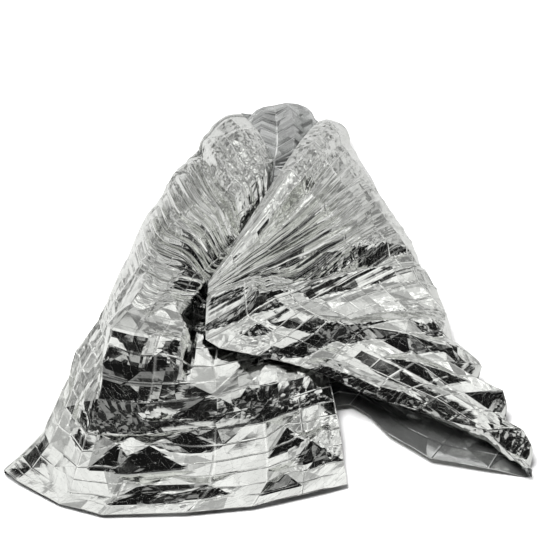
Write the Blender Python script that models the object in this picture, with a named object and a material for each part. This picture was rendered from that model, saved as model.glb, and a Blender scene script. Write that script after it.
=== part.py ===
"""Emergency foil blanket, laid out on the floor as a two-layer cape with its front up.

One rectangle of thin metallised film, 2.10 m by 1.30 m, with the creases of its factory folds.
The long upper edge goes round the neck opening, the sides roll over, and the two front flaps
cross, the right one on top.  Metres, +Z up, the neck towards +Y.
"""

import bmesh
import bpy
import numpy as np

SHEET_WIDTH = 2.10  # the film's long side, round the wearer
SHEET_LENGTH = 1.30  # from the neck edge to the hem
THICKNESS = 0.0015
FOLD_COLUMNS = 20  # factory fold panels across
FOLD_ROWS = 13  # and down
PANEL_WIDTH = SHEET_WIDTH / FOLD_COLUMNS
PANEL_LENGTH = SHEET_LENGTH / FOLD_ROWS
HALF_WIDTH = SHEET_WIDTH / 2
COLUMN_STEPS = 2  # mesh steps in a panel's width
ROW_STEPS = 4  # and in its length

ROLL = 0.055  # film from a side's outermost line to the roll's top or foot
ROLL_REACH = 0.036  # how far inwards these lie
ROLL_RISE = 1.85  # height of the roll's top over its outermost line
TOP_SHARE = 0.4  # share of the facets along the roll's top
PLEAT = PANEL_LENGTH / 2  # film in one narrow pleat
PLEAT_SLOPE = 1.60  # depth over the pleat's laid length
GATHER_SLOPE = 0.50
GATHER_DEPTH = 0.030
WAVE_PITCH = (0.31, 0.27)
WAVE_DEPTH = 0.020  # broad dents
PANEL_DEPTH = 0.020  # flat-sided factory fold panels
COLLAR_DEPTH = 0.018  # roll along the neck edge
COLLAR_ROWS = 1.2
RESTING_BANDS = (0.30, 0.60, 0.90)  # down the back, where it lies flat on the floor

# Lines on the film that run from the neck edge to the hem, in order round the blanket.  Columns:
# fold row, film across from the back's middle, x, y, z, share of the facets, share of the pleats.
# A negative share stands up from the back, whose outer face lies on the floor.
LINES = {
    "left_edge": [
        (0, -1.050, 0.162, 0.475, 0.040, 0.7, 0.7),
        (3, -1.050, 0.218, 0.276, 0.036, 0.8, 0.8),
        (6, -1.050, 0.173, 0.016, 0.066, 0.6, 0.6),
        (7, -1.050, 0.155, -0.070, 0.078, 0.4, 0.4),
        (8, -1.050, 0.126, -0.140, 0.078, 0.4, 0.2),
        (9, -1.050, 0.111, -0.194, 0.066, 0.5, 0),
        (10, -1.050, 0.126, -0.245, 0.040, 0.9, 0),
        (11, -1.050, 0.134, -0.312, 0.028, 0.9, 0),
        (12, -1.050, 0.140, -0.377, 0.015, 0.9, 0),
        (13, -1.050, 0.146, -0.426, 0.004, 0.5, 0),
    ],
    "left_clasp": [
        (0, -0.620, -0.009, 0.316, 0.060, 0.2, 0.2),
        (1, -0.630, -0.033, 0.260, 0.062, 0.2, 0.4),
        (3, -0.650, -0.090, 0.151, 0.072, 0.2, 0.8),
        (5, -0.680, -0.129, 0.030, 0.084, 0.2, 0.7),
        (6, -0.700, -0.129, -0.017, 0.092, 0.4, 0.2),
        (7, -0.715, -0.122, -0.111, 0.094, 0.3, 0),
        (8, -0.730, -0.114, -0.192, 0.084, 0.4, 0),
        (9, -0.735, -0.105, -0.265, 0.068, 0.8, 0),
        (10, -0.740, -0.099, -0.318, 0.034, 0.6, 0),
        (11, -0.745, -0.092, -0.384, 0.021, 0.4, 0),
        (12, -0.750, -0.090, -0.445, 0.010, 0.4, 0),
        (13, -0.770, -0.108, -0.490, 0.004, 0.4, 0),
    ],
    "left_fan": [
        (0, -0.420, 0.005, 0.462, 0.065, 0.7, 0),
        (1, -0.440, -0.047, 0.369, 0.080, 0.7, 0.5),
        (3, -0.480, -0.135, 0.224, 0.094, 0.2, 1),
        (4.9, -0.540, -0.193, 0.085, 0.104, 0.2, 1),
        (6, -0.580, -0.212, -0.025, 0.114, 0.6, 0.4),
        (7, -0.610, -0.218, -0.128, 0.120, 0.8, 0),
        (8, -0.630, -0.221, -0.224, 0.118, 0.5, 0),
        (9, -0.635, -0.228, -0.282, 0.078, 0.6, 0),
        (10, -0.640, -0.240, -0.325, 0.025, 0.5, 0),
        (11, -0.640, -0.255, -0.399, 0.015, 0.4, 0),
        (12, -0.640, -0.274, -0.463, 0.008, 0.4, 0),
        (13, -0.650, -0.292, -0.499, 0.004, 0.4, 0),
    ],
    "left_ridge": [
        (0, -0.320, -0.028, 0.572, 0.058, 0.7, 0),
        (1, -0.340, -0.088, 0.479, 0.075, 0.6, 0.3),
        (3, -0.380, -0.182, 0.311, 0.088, 0.3, 0.8),
        (4.9, -0.420, -0.249, 0.140, 0.094, 0.3, 0.7),
        (6.1, -0.450, -0.275, 0.019, 0.100, 0.6, 0.1),
        (7.1, -0.480, -0.296, -0.087, 0.104, 0.7, 0),
        (8.1, -0.500, -0.314, -0.193, 0.102, 0.5, 0),
        (9, -0.505, -0.336, -0.267, 0.070, 0.6, 0),
        (10, -0.505, -0.364, -0.321, 0.026, 0.5, 0),
        (11, -0.500, -0.381, -0.392, 0.016, 0.4, 0),
        (12, -0.500, -0.392, -0.444, 0.009, 0.4, 0),
        (13, -0.510, -0.405, -0.467, 0.004, 0.4, 0),
    ],
    "left_fold": [
        (0, -0.235, -0.078, 0.705, 0.040, 0.1, 0),
        (1.1, -0.255, -0.141, 0.621, 0.038, 0.15, 0),
        (3.1, -0.280, -0.212, 0.441, 0.038, 0.7, 0),
        (5.4, -0.310, -0.279, 0.222, 0.040, 0.8, 0),
        (6.8, -0.325, -0.313, 0.085, 0.040, 0.7, 0),
        (7.8, -0.340, -0.337, -0.013, 0.042, 0.7, 0),
        (8.7, -0.355, -0.367, -0.097, 0.042, 0.7, 0),
        (9.6, -0.360, -0.400, -0.178, 0.040, 0.7, 0),
        (10.5, -0.360, -0.425, -0.264, 0.032, 0.7, 0),
        (11.2, -0.360, -0.441, -0.328, 0.022, 0.7, 0),
        (12.1, -0.355, -0.483, -0.366, 0.014, 0.6, 0),
        (13, -0.350, -0.509, -0.395, 0.008, 0.5, 0),
    ],
    "back_left": [
        (0, -0.060, -0.020, 0.766, 0.000, -0.1, 0),
        (1, -0.060, -0.024, 0.686, 0.000, -0.3, -0.5),
        (4, -0.040, -0.041, 0.397, 0.000, -0.15, -1),
        (7, -0.030, -0.060, 0.115, 0.000, -0.15, -1),
        (10, 0.000, -0.089, -0.149, 0.000, -0.15, -1),
        (11, 0.000, -0.111, -0.244, 0.000, 0, 0),
        (13, 0.030, -0.151, -0.442, 0.000, 0, 0),
    ],
    "back_middle": [
        (0, 0.080, 0.055, 0.775, 0.000, -0.5, 0),
        (1, 0.080, 0.068, 0.686, 0.000, -0.3, -0.9),
        (4, 0.110, 0.097, 0.415, 0.000, -0.15, -1),
        (7, 0.160, 0.123, 0.178, 0.000, -0.15, -1),
        (10, 0.280, 0.157, -0.030, 0.000, -0.2, -1),
        (11.3, 0.340, 0.160, -0.113, 0.000, -0.4, -0.3),
        (13, 0.410, 0.151, -0.228, 0.000, -0.5, 0),
    ],
    "back_right": [
        (0, 0.190, 0.099, 0.750, 0.000, -0.3, 0),
        (1, 0.200, 0.116, 0.654, 0.000, -0.2, -1),
        (4, 0.240, 0.183, 0.372, 0.000, -0.15, -1),
        (7, 0.300, 0.247, 0.124, 0.000, -0.15, -1),
        (10, 0.440, 0.296, -0.094, 0.000, -0.2, -1),
        (11.3, 0.520, 0.301, -0.199, 0.000, -0.4, -0.3),
        (13, 0.600, 0.280, -0.359, 0.000, -0.5, 0),
    ],
    "right_fold": [
        (0, 0.350, 0.130, 0.670, 0.030, 0.5, 0),
        (1.1, 0.360, 0.173, 0.574, 0.035, 0.6, 0.1),
        (4.1, 0.400, 0.276, 0.292, 0.040, 0.4, 0.15),
        (7, 0.460, 0.344, 0.059, 0.045, 0.5, 0.05),
        (9, 0.560, 0.387, -0.097, 0.045, 0.5, 0),
        (10.5, 0.670, 0.434, -0.192, 0.040, 0.4, 0),
        (12, 0.800, 0.498, -0.329, 0.030, 0.8, 0),
        (13, 0.880, 0.501, -0.405, 0.014, 0.6, 0),
    ],
    "right_chest": [
        (0, 0.600, 0.034, 0.399, 0.122, 0.25, 0),
        (1.2, 0.630, 0.075, 0.311, 0.117, 0.4, 0.2),
        (2.7, 0.660, 0.105, 0.194, 0.120, 0.2, 1),
        (4, 0.690, 0.117, 0.096, 0.122, 0.35, 0.6),
        (5.5, 0.730, 0.123, 0.011, 0.122, 0.4, 0.1),
        (7, 0.780, 0.129, -0.067, 0.118, 0.35, 0),
        (9, 0.860, 0.190, -0.158, 0.102, 0.3, 0),
        (10.5, 0.920, 0.281, -0.239, 0.080, 0.4, 0),
        (12, 0.955, 0.411, -0.331, 0.050, 0.6, 0),
        (13, 0.975, 0.459, -0.399, 0.024, 0.2, 0),
    ],
    "right_edge": [
        (0, 1.050, -0.126, 0.021, 0.113, 0.2, 0),
        (2, 1.050, -0.127, -0.005, 0.117, 0.2, 0.1),
        (4, 1.050, -0.128, -0.032, 0.118, 0.2, 0.1),
        (5.4, 1.050, -0.129, -0.140, 0.112, 0.2, 0),
        (6.2, 1.050, -0.087, -0.173, 0.109, 0.3, 0),
        (8, 1.050, 0.059, -0.198, 0.090, 0.35, 0),
        (10, 1.050, 0.198, -0.271, 0.074, 0.4, 0),
        (12, 1.050, 0.364, -0.305, 0.046, 0.5, 0),
        (13, 1.050, 0.438, -0.335, 0.022, 0.2, 0),
    ],
}

# Folded corners that stand up.  Columns: across, down, reach across, reach down, height.
POPPED_CORNERS = [
    (-0.595, 1.050, 0.050, 0.060, 0.028),
    (-0.650, 1.055, 0.050, 0.060, 0.026),
    (-0.665, 1.185, 0.050, 0.060, 0.020),
    (-0.730, 1.190, 0.055, 0.045, 0.014),
    (-0.900, 1.060, 0.055, 0.060, 0.022),
    (-0.960, 1.130, 0.060, 0.050, 0.022),
    (-0.890, 1.210, 0.050, 0.050, 0.020),
    (-0.620, 0.655, 0.045, 0.060, 0.025),
    (0.740, 0.905, 0.060, 0.060, 0.018),
    (0.830, 1.010, 0.050, 0.060, 0.018),
    (0.660, 0.960, 0.050, 0.050, 0.014),
]

# Ridges, and troughs where the height is negative, that fall away evenly to both sides.
# Columns: across, down, to across, to down, reach across, reach down, height.
MAIN_FOLDS = [
    (0.620, 0.125, 1.010, 0.165, 0.030, 0.030, -0.022),
    (0.640, 0.050, 1.000, 0.060, 0.050, 0.045, 0.006),
    (0.800, 0.430, 0.515, 0.590, 0.070, 0.060, -0.040),
    (0.875, 0.520, 0.520, 0.640, 0.080, 0.055, 0.016),
    (0.880, 0.530, 0.840, 0.780, 0.060, 0.060, 0.014),
    (1.000, 0.790, 0.870, 0.815, 0.060, 0.060, -0.014),
    (0.845, 0.810, 0.925, 1.110, 0.060, 0.060, 0.008),
    (1.020, 0.850, 1.000, 1.050, 0.045, 0.050, 0.010),
    (0.830, 0.820, 0.625, 0.860, 0.060, 0.060, 0.018),
    (0.915, 0.500, 0.950, 0.600, 0.045, 0.050, 0.012),
    (-0.505, 0.600, -0.525, 0.830, 0.050, 0.050, 0.012),
    (-0.525, 0.830, -0.500, 1.010, 0.050, 0.050, 0.012),
    (-0.855, 0.850, -0.700, 1.010, 0.070, 0.060, 0.018),
    (-0.640, 0.790, -0.645, 0.900, 0.040, 0.050, 0.012),
    (-0.505, 0.765, -0.655, 0.765, 0.040, 0.090, 0.034),
    (-0.600, 0.555, -0.665, 0.560, 0.035, 0.050, 0.026),
    (1.035, 0.435, 0.925, 0.465, 0.040, 0.090, 0.036),
    (-0.700, 0.560, -0.700, 0.660, 0.040, 0.050, -0.016),
    (-0.300, 0.130, -0.540, 0.150, 0.050, 0.035, 0.014),
    (-0.290, 0.190, -0.560, 0.225, 0.050, 0.035, -0.020),
]


def through(at, knots, values):
    """Values at the places asked for, on a smooth curve through the knots that never overshoots."""
    step = np.diff(knots)
    slope = np.diff(values, axis=0) / step[:, None]
    lean = np.zeros_like(values)
    lean[0], lean[-1] = slope[0], slope[-1]
    before, after = (2 * step[1:] + step[:-1])[:, None], (step[1:] + 2 * step[:-1])[:, None]
    same_way = slope[:-1] * slope[1:] > 0
    with np.errstate(divide="ignore", invalid="ignore"):
        mean = (before + after) / (before / slope[:-1] + after / slope[1:])
    lean[1:-1] = np.where(same_way, mean, 0)
    k = np.clip(np.searchsorted(knots, at, side="right") - 1, 0, len(knots) - 2)
    f = ((at - knots[k]) / step[k])[:, None]
    span = step[k][:, None]
    return (
        values[k] * (1 + 2 * f) * (1 - f) ** 2
        + lean[k] * span * f * (1 - f) ** 2
        + values[k + 1] * f * f * (3 - 2 * f)
        + lean[k + 1] * span * f * f * (f - 1)
    )


def side_roll(fold, front, back, sign):
    """The lines along the top and the foot of a side's roll, from its outermost line."""
    ends = []
    for towards, turn in ((front, sign), (back, -sign)):
        inwards = towards[:, 1:3] - fold[:, 1:3]
        inwards = inwards / np.linalg.norm(inwards, axis=1, keepdims=True)
        end = fold.copy()
        end[:, 0] += turn * ROLL
        end[:, 1:3] += inwards * ROLL_REACH * np.minimum(1, fold[:, 3:4] / 0.03)
        ends.append(end)
    top, foot = ends
    top[:, 3] *= ROLL_RISE
    top[:, 4] = TOP_SHARE
    foot[:, 3:] = 0
    return top, foot


def laid(across, down):
    """The film without its creases: x, y, z and both shares, for each row and column."""
    line = {}
    for name, table in LINES.items():
        table = np.array(table)
        line[name] = through(down / PANEL_LENGTH, table[:, 0], table[:, 1:])
    _, left_foot = side_roll(line["left_fold"], line["left_ridge"], line["back_left"], -1)
    right_top, right_foot = side_roll(line["right_fold"], line["right_chest"], line["back_right"], 1)
    order = [line["left_edge"], line["left_clasp"], line["left_fan"], line["left_ridge"]]
    order += [line["left_fold"], left_foot, line["back_left"], line["back_middle"]]
    order += [line["back_right"], right_foot, line["right_fold"], right_top]
    order += [line["right_chest"], line["right_edge"]]
    rounds = np.stack(order, axis=1)
    return np.stack([through(across, knots[:, 0], knots[:, 1:]) for knots in rounds])


def facets(s, t, pitch, seed, turn=0.0, rows=0.0, columns=0.0, centre=1.0):
    """Height from 0 to 1 of flat-sided panels, each creased from its corners to its middle."""
    c, n = np.cos(turn), np.sin(turn)
    u, v = (s * c + t * n) / pitch[0] + 40, (t * c - s * n) / pitch[1] + 40
    i, j = np.floor(u + 1e-9).astype(int), np.floor(v + 1e-9).astype(int)
    du, dv = u - i - 0.5, v - j - 0.5
    random = np.random.default_rng(seed)
    jj, ii = np.meshgrid(np.arange(256), np.arange(256), indexing="ij")
    rest = 1 - rows - columns
    corner = rest * random.random((256, 256)) + rows * (jj % 2) + columns * (ii % 2)
    middle = random.random((256, 256))
    a, b, d, e = corner[j, i], corner[j, i + 1], corner[j + 1, i], corner[j + 1, i + 1]
    m = (a + b + d + e) / 4 + centre * rest * (middle[j, i] - 0.5)
    right = m + 2 * np.abs(du) * ((b + e) / 2 - m) + dv * (e - b)
    left = m + 2 * np.abs(du) * ((a + d) / 2 - m) + dv * (d - a)
    below = m + 2 * np.abs(dv) * ((d + e) / 2 - m) + du * (e - d)
    above = m + 2 * np.abs(dv) * ((a + b) / 2 - m) + du * (b - a)
    sideways = np.where(du > 0, right, left)
    return np.where(np.abs(du) > np.abs(dv), sideways, np.where(dv > 0, below, above))


def pleats(s, t, lengthwise):
    """Depth of the narrow pleats that take up the film's spare length."""
    crest = np.abs(2 * ((t / PLEAT) % 1.0) - 1)
    crease = np.round(t / PLEAT).astype(int) % 64
    place = np.clip((s + HALF_WIDTH) / (2 * PANEL_WIDTH), 0, 10.999)
    i = place.astype(int)
    share = np.random.default_rng(7).uniform(0.4, 1.0, (64, 12))
    share = share[crease, i] * (1 - place + i) + share[crease, i + 1] * (place - i)
    spare = PLEAT / 2 * np.sqrt(np.clip(1 - lengthwise**2, 0, 1))
    return np.minimum(spare, PLEAT_SLOPE * lengthwise * PLEAT) * crest * share


def gathers(s, crosswise):
    """Depth of the folds along the columns that take up its spare width."""
    crest = np.abs(2 * ((s / PANEL_WIDTH + 0.5) % 1.0) - 1)
    spare = PANEL_WIDTH / 2 * np.sqrt(np.clip(1 - crosswise**2, 0, 1))
    depth = np.minimum(spare, GATHER_SLOPE * crosswise * PANEL_WIDTH)
    return np.minimum(depth, GATHER_DEPTH) * crest


def main_forms(s, t):
    """Height of the roll along the neck edge, the corners that stand up, and the main folds."""
    height = COLLAR_DEPTH * np.sin(np.pi * np.clip(t / (COLLAR_ROWS * PANEL_LENGTH), 0, 1))
    for corner_s, corner_t, reach_s, reach_t, rise in POPPED_CORNERS:
        away = np.maximum(np.abs(s - corner_s) / reach_s, np.abs(t - corner_t) / reach_t)
        height += rise * np.clip(1 - away, 0, 1)
    for start_s, start_t, end_s, end_t, reach_s, reach_t, rise in MAIN_FOLDS:
        run = np.array([(end_s - start_s) / reach_s, (end_t - start_t) / reach_t])
        off_s, off_t = (s - start_s) / reach_s, (t - start_t) / reach_t
        along = np.clip((off_s * run[0] + off_t * run[1]) / (run @ run), 0, 1)
        away = np.hypot(off_s - along * run[0], off_t - along * run[1])
        height += rise * np.clip(1 - away, 0, 1)
    return height


def outer_face(across, down):
    """The film's outer face as it lies, creased, for each row and column."""
    film = laid(across, down)
    place, facet, pleat = film[..., :3], film[..., 3], film[..., 4]
    along_s, along_t = np.gradient(place, across, axis=1), np.gradient(place, down, axis=0)
    outwards = np.cross(along_s, along_t)
    outwards /= np.linalg.norm(outwards, axis=-1, keepdims=True)
    crosswise, lengthwise = np.linalg.norm(along_s, axis=-1), np.linalg.norm(along_t, axis=-1)
    room = np.clip(np.minimum(lengthwise, crosswise) / 0.6, 0.2, 1)
    s, t = np.meshgrid(across, down)
    height = WAVE_DEPTH * np.clip(1.3 * room, 0, 1) * facets(s, t, WAVE_PITCH, 3, turn=0.45, centre=0.3)
    panel = facets(s, t, (PANEL_WIDTH, PANEL_LENGTH), 11, rows=0.4, columns=0.15, centre=0.8)
    height += PANEL_DEPTH * room * panel
    height = height * facet + pleats(s, t, lengthwise) * pleat
    height += main_forms(s, t) * room * np.clip(3 * facet, 0, 1)
    height += gathers(s, crosswise) * (0.2 * facet + np.minimum(pleat, 0))
    resting = np.zeros_like(t)
    for band in RESTING_BANDS:
        resting = np.maximum(resting, np.clip(2 - np.abs(t - band) / (PLEAT / 2), 0, 1))
    height = np.where(height < 0, height * (1 - resting), height)
    place = place + outwards * height[..., None]
    place[..., 2] = np.maximum(place[..., 2], 0)
    return place


def film_material():
    material = bpy.data.materials.new("metallised_film")
    material.use_nodes = True
    shader = material.node_tree.nodes["Principled BSDF"]
    shader.inputs["Base Color"].default_value = (0.78, 0.79, 0.76, 1)
    shader.inputs["Metallic"].default_value = 1
    shader.inputs["Roughness"].default_value = 0.12
    return material


def foil_sheet():
    across = np.linspace(-HALF_WIDTH, HALF_WIDTH, FOLD_COLUMNS * COLUMN_STEPS + 1)
    down = np.linspace(0, SHEET_LENGTH, FOLD_ROWS * ROW_STEPS + 1)
    place = outer_face(across, down)
    low, high = place.reshape(-1, 3).min(axis=0), place.reshape(-1, 3).max(axis=0)
    place -= np.array([(low[0] + high[0]) / 2, (low[1] + high[1]) / 2, 0])

    shape = bmesh.new()
    bmesh.ops.create_grid(shape, x_segments=len(across) - 1, y_segments=len(down) - 1, size=1)
    for vertex in shape.verts:
        i = round((vertex.co.x + 1) / 2 * (len(across) - 1))
        j = round((1 - vertex.co.y) / 2 * (len(down) - 1))
        vertex.co = place[j, i]
    bmesh.ops.reverse_faces(shape, faces=shape.faces)
    mesh = bpy.data.meshes.new("foil_sheet")
    shape.to_mesh(mesh)
    shape.free()
    mesh.materials.append(film_material())
    sheet = bpy.data.objects.new("foil_sheet", mesh)
    bpy.context.scene.collection.objects.link(sheet)
    film = sheet.modifiers.new("film", "SOLIDIFY")
    film.thickness = THICKNESS
    film.offset = -1
    return sheet


for leftover in list(bpy.data.objects):
    bpy.data.objects.remove(leftover)
foil_sheet()
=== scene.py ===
"""Emergency foil blanket: the metallised film and its creases, its finish, and a plain studio.

One rectangle of film, 2.10 m by 1.30 m, laid out on the floor as a two-layer cape.  It lies on
the same guide lines as its solid, with the crinkles that the solid is too coarse for.
"""

import math

import bmesh
import bpy
import numpy as np
from bpy.props import FloatProperty, FloatVectorProperty, PointerProperty
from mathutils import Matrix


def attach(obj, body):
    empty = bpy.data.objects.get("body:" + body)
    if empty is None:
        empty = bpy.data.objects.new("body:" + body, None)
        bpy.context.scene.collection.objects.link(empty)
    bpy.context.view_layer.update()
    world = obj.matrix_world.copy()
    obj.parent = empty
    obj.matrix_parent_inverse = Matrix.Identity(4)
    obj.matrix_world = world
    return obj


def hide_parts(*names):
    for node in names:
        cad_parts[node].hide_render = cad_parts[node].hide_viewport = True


bl_info = {
    "name": "Emergency Foil Blanket",
    "version": (1, 0, 0),
    "blender": (4, 5, 0),
    "location": "3D View > Sidebar > Foil Blanket",
    "description": "Lays out a creased metallised film blanket in a plain studio",
    "category": "Object",
}

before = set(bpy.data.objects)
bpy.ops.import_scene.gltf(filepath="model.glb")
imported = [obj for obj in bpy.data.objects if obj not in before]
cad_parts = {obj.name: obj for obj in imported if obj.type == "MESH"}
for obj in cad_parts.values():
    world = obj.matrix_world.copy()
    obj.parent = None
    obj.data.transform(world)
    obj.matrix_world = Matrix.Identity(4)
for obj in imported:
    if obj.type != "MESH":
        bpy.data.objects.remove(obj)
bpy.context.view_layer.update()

SHEET_WIDTH = 2.10  # the film's long side, round the wearer
SHEET_LENGTH = 1.30  # from the neck edge to the hem
FOLD_COLUMNS = 20  # factory fold panels across
FOLD_ROWS = 13  # and down
PANEL_WIDTH = SHEET_WIDTH / FOLD_COLUMNS
PANEL_LENGTH = SHEET_LENGTH / FOLD_ROWS
HALF_WIDTH = SHEET_WIDTH / 2
SOLID_COLUMN_STEPS = 2  # the solid's mesh steps in a panel's width
SOLID_ROW_STEPS = 4  # and in its length
ROW_STEPS = 16  # the film's mesh steps in a panel's length
FLAP_STEPS = 16  # in its width, on the flaps
BACK_STEPS = 2  # and on the hidden back
BACK_PANELS = (8, 14)  # the back's first and last fold columns

ROLL = 0.055  # film from a side's outermost line to the roll's top or foot
ROLL_REACH = 0.036  # how far inwards these lie
ROLL_RISE = 1.85  # height of the roll's top over its outermost line
FULL_ROLL = 0.03  # lines lower than this have a smaller roll
TOP_SHARE = 0.4  # share of the facets along the roll's top
PLEAT = PANEL_LENGTH / 2  # film in one narrow pleat
PLEAT_SLOPE = 1.60  # depth over the pleat's laid length
SMALL_PLEAT = PLEAT / 2  # the small pleats between the solid's
SMALL_PLEAT_SLOPE = 1.10
PLEAT_TABLE = 64  # pleats before their shares of the depth repeat
GATHER_SLOPE = 0.50
GATHER_DEPTH = 0.030
GATHER_SHARE = 0.2  # share of the gathers that goes with the facets
WAVE_PITCH = (0.31, 0.27)
WAVE_DEPTH = 0.020  # broad dents
WAVE_ROOM = 1.3  # the dents fade later than the panels where the film is drawn together
FULL_ROOM = 0.6  # laid length over the film's, from which the panels have their full depth
LEAST_ROOM = 0.2  # share of that depth that they always keep
PANEL_DEPTH = 0.020  # flat-sided factory fold panels
COLLAR_DEPTH = 0.018  # roll along the neck edge
COLLAR_ROWS = 1.2
RESTING_BANDS = (0.30, 0.60, 0.90)  # down the back, where it lies flat on the floor
CALM = 0.10  # share of the crinkles where the film isn't crumpled
CRUMPLE_FADE = 1.4  # how steeply a crumpled place fades at its edge
CRINKLE_PITCH = (0.052, 0.046)
FINE_PITCH = (0.020, 0.018)
FLAT_COLUMNS = (-4, 5)  # between these fold columns the film bends at each half panel
FLAT_ROW = 6  # and above this fold row
DRAWN_SHARE = 1.5  # how soon the film is smooth, not flat, as its share of pleats grows
LEFT_MIDDLE, RIGHT_MIDDLE = 0.22, 0.86  # the flaps' middles, as shares of the mesh columns
DRAWN_LINES = 60.0  # fine lines in a metre of drawn-together film
DRAWN_DEPTH = 0.013
SHIFT_PITCH = (0.07, 0.06)  # what keeps the crinkles from lining up
SHIFT = 0.01
FACET_TABLE = 256  # facets before their heights repeat

LINE_WIDTH = 0.003  # a worn fold line, from its middle to its edge
LINE_LEVEL = 0.42  # how much of the fold lines can be seen: noise over this level,
LINE_CONTRAST = 4.0  # times this
LINE_WEAR = 1.5
LINE_NOISE = 5.0  # blotches in a metre
WAVER_NOISE = 7.0
WAVER = 0.012  # how far the fold lines and facets stray
PANEL_CELLS, CRINKLE_CELLS, FINE_CELLS = 9.0, 28.0, 90.0  # facets in a metre
CALM_RELIEF = 0.06  # share of the small facets where the film isn't crumpled

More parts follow.
